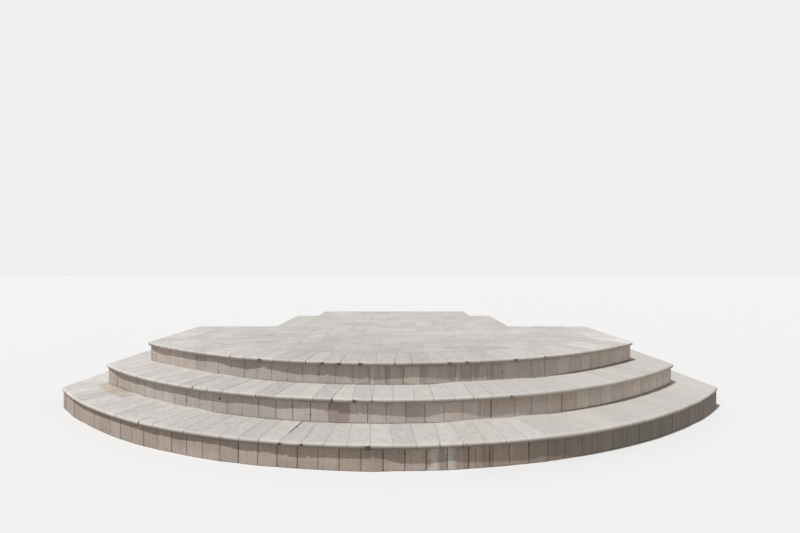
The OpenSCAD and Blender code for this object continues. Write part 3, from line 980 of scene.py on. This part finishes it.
for storey in range(3):
    reachX = half[2 - storey] - toCoreSide
    for name, start, way, length in (
            ("backFacingRight", (reachX, backY), leftwards, reachX - porchHalf),
            ("backFacingLeft", (-porchHalf, backY), leftwards, reachX - porchHalf),
            ("porchFacingRight", (porchHalf, backY), backwards, sideLength),
            ("porchFacingRight", (porchHalf - depth, porchY), leftwards, shoulder),
            ("porchFacingLeft", (-porchHalf, porchY), forwards, sideLength),
            ("porchFacingLeft", (-thresholdHalf + depth, porchY), leftwards, shoulder),
            ("thresholdFacing", (thresholdHalf, porchY), backwards, endLength),
            ("thresholdFacing", (thresholdHalf - depth, thresholdY), leftwards, 2 * (thresholdHalf - depth)),
            ("thresholdFacing", (-thresholdHalf, thresholdY), forwards, endLength)):
        runs[name].append((storey, start, way, length))
seed = facing["seed"]
for name, node in facingNodes.items():
    made = []
    for storey, start, way, length in runs[name]:
        seed += 1.0
        made.append(lineCourse(name, facingBlanks[storey], facing, start, way, length, storeys[storey][0],
                               facingStone, seed))
    dress(joinPieces(name, made), "plain_facing", node)
print("facing laid")

# Mortar behind the joints, set back from the faces of the stones
mortar = {"top": 0.0022, "front": 0.016, "riser": 0.013, "back": 0.004, "riserBack": 0.006, "foot": 0.004,
          "head": 0.008, "storey": 0.001, "end": 0.002, "segments": 96}
# The fillet at the foot of a riser, by degrees from the middle line; it shows where the runs are
feet = {"height": 0.008, "least": -0.0025, "inside": 0.004, "sunk": 0.0012, "end": 38,
        "runs": ((-37, -19), (5, 20)), "soft": 3.0}


def rectangle(x0, x1, y0, y1):
    return [Vector((x0, y0)), Vector((x1, y0)), Vector((x1, y1)), Vector((x0, y1))]


def arcLine(reach, endX):
    end, steps = math.asin(endX / reach), mortar["segments"]
    return [arcPoint(-end + 2 * end * i / steps, reach) for i in range(steps + 1)]


def arcEnd(reach, x, y):  # from the back round the front to the back again
    return [Vector((-x, y))] + arcLine(reach, x) + [Vector((x, y))]


def atAngle(table, angle):  # the value of a table at an angle, in a straight line from entry to entry
    for (a, low), (b, high) in zip(table, table[1:]):
        if a <= angle <= b:
            return low + (high - low) * (angle - a) / (b - a)
    return table[0][1] if angle < table[0][0] else table[-1][1]


def footRings(tier):  # a fillet between a riser and the tread that it stands on, on the arc
    rings = []
    foot, inside, sunk = riserBase(tier), feet["inside"], feet["sunk"]
    for angle in range(-feet["end"], feet["end"] + 1):
        share = max(0.0, *(min(1.0, (angle - low) / feet["soft"], (high - angle) / feet["soft"])
                           for low, high in feet["runs"]))
        size = feet["least"] + (feet["height"] - feet["least"]) * share
        face = flight["radius"][tier] - sunk - (atAngle(overhangs[tier], angle) + atAngle(noseBows(tier), angle)) / 1000
        corners = ((face - inside, foot - sunk), (face + size, foot - sunk), (face - inside, foot + size + inside))
        rings.append([(*arcPoint(math.radians(angle), reach), z) for reach, z in corners])
    return rings


def mortarPiece(name, material, bodies):
    bm = bmesh.new()
    for rings in bodies:
        closeRings(bm, [[bm.verts.new(place) for place in ring] for ring in rings])
    bmesh.ops.recalc_face_normals(bm, faces=bm.faces)
    bmesh.ops.triangulate(bm, faces=bm.faces)
    mesh = toMesh(bm, name)
    mesh.materials.append(material)
    piece = toPiece(name, mesh)
    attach(piece, "root")


def prism(outline, base, top):
    return [[(p.x, p.y, z) for p in outline] for z in (base, top)]


slabBodies, riserBodies = [], []
front, behind, recess = mortar["front"], backY - mortar["back"], mortar["riser"]


def slabBody(outline, tier=0):
    base = slabBase(tier)
    slabBodies.append(prism(outline, base + mortar["top"], base + slabThick - mortar["top"]))


def facingBody(x0, x1, y0, y1, z0=0.0, z1=slabBase(0)):  # on the left and on the right
    for xs in ((-x1, -x0), (x0, x1)):
        riserBodies.append(prism(rectangle(*xs, y0, y1), z0 + mortar["storey"], z1 - mortar["storey"]))


for tier in range(3):
    x, r = treadCorner(tier)
    slabBody(arcEnd(flight["radius"][tier] - front, half[tier] - front, behind) + arcEnd(r, x, behind)[::-1], tier)
    x, r = riserCorner(tier)
    y = backY - mortar["riserBack"]
    outer = arcEnd(r + flight["riserDepth"] - recess, x + flight["riserDepth"] - recess, y)
    riserBodies.append(prism(outer + arcEnd(r, x, y)[::-1], riserBase(tier) + mortar["foot"],
                             slabBase(tier) - mortar["head"]))
slabBody(arcLine(fieldReach, fieldHalf) + [Vector((fieldHalf, behind)), Vector((-fieldHalf, behind))])
slabBody(rectangle(-porchHalf + front, porchHalf - front, behind, porchY - front))
slabBody(rectangle(-thresholdHalf + front, thresholdHalf - front, porchY - front, thresholdY - front))
for storey, (z0, z1) in enumerate(storeys):
    reachX = half[2 - storey] - toCoreSide - mortar["end"]
    facingBody(porchHalf - depth, reachX, backY - depth, backY - recess, z0, z1)
facingBody(porchHalf - depth, porchHalf - recess, backY - recess, porchY - recess)
facingBody(thresholdHalf - depth, porchHalf - depth, porchY - depth, porchY - recess)
facingBody(thresholdHalf - depth, thresholdHalf - recess, porchY - recess, thresholdY - recess)
endWall = rectangle(-thresholdHalf + depth, thresholdHalf - depth, thresholdY - depth, thresholdY - recess)
riserBodies.append(prism(endWall, mortar["storey"], slabBase(0) - mortar["storey"]))
mortarPiece("slabJoints", treadMortar, slabBodies)
mortarPiece("riserJoints", riserMortar, riserBodies)
mortarPiece("footMortar", paleMortar, [footRings(tier) for tier in (0, 1)])
print("mortar made")

# Floor, light and camera. A lamp's azimuth is from the front, to the right.
studio = {"floor": 0.80, "floorBounce": 0.33, "bounceTint": (1.0, 0.92, 0.81), "floorSpan": (-40, 40),
          "sky": 0.26, "backdrop": 0.86,
          "sun": {"energy": 2.85, "colour": (1.0, 1.0, 1.0), "softness": 1.6, "azimuth": -50.0, "height": 62.2},
          "fill": {"energy": 0.45, "colour": (1.0, 0.93, 0.845), "softness": 50.0, "azimuth": 72.0, "height": 16.0}}
view = {"lens": 18.9, "sensor": 36.0, "shift": -0.0013, "across": 0.08, "away": 2.24, "eye": 1.115}
floorMesh = bpy.data.meshes.new("floor")
floorMesh.from_pydata([(*corner, 0) for corner in rectangle(*studio["floorSpan"] * 2)], [], [range(4)])
floor = toPiece("floor", floorMesh)
floorMaterial, g, shader = newMaterial("floor")
bounced = tuple(studio["floorBounce"] * tint for tint in studio["bounceTint"])
floorColour = g.mix(g.node("ShaderNodeLightPath", out="Is Camera Ray"), bounced, (studio["floor"],) * 3)
g.tree.links.new(floorColour.socket, shader.inputs["Base Color"])
shader.inputs["Roughness"].default_value = 0.9
floorMesh.materials.append(floorMaterial)

world = bpy.data.worlds.new("studio")
bpy.context.scene.world = world
world.use_nodes = True
g = Graph(world.node_tree)
seen = g.node("ShaderNodeLightPath", out="Is Camera Ray")
for ray in ("Is Glossy Ray", "Is Transmission Ray"):
    seen = seen.most(g.node("ShaderNodeLightPath", out=ray))
background = world.node_tree.nodes["Background"]
background.inputs["Color"].default_value = (1, 1, 1, 1)
strength = studio["sky"] + seen * (studio["backdrop"] - studio["sky"])
g.tree.links.new(strength.socket, background.inputs["Strength"])

for name in ("sun", "fill"):
    settings = studio[name]
    lamp = bpy.data.lights.new(name, "SUN")
    lamp.energy = settings["energy"]
    lamp.color = settings["colour"]
    lamp.angle = math.radians(settings["softness"])
    azimuth, elevation = math.radians(settings["azimuth"]), math.radians(settings["height"])
    level = math.cos(elevation)
    toLamp = Vector((math.sin(azimuth) * level, -math.cos(azimuth) * level, math.sin(elevation)))
    toPiece(name, lamp).rotation_euler = toLamp.to_track_quat("Z", "Y").to_euler()

camera = bpy.data.cameras.new("camera")
camera.lens = view["lens"]
camera.sensor_width = view["sensor"]
camera.shift_y = view["shift"]
cameraObject = toPiece("camera", camera)
cameraObject.location = (view["across"], cadBox[0].y - view["away"], view["eye"])
cameraObject.rotation_euler = (math.pi / 2, 0, 0)
bpy.context.scene.camera = cameraObject
bpy.context.scene.view_settings.view_transform = "Standard"
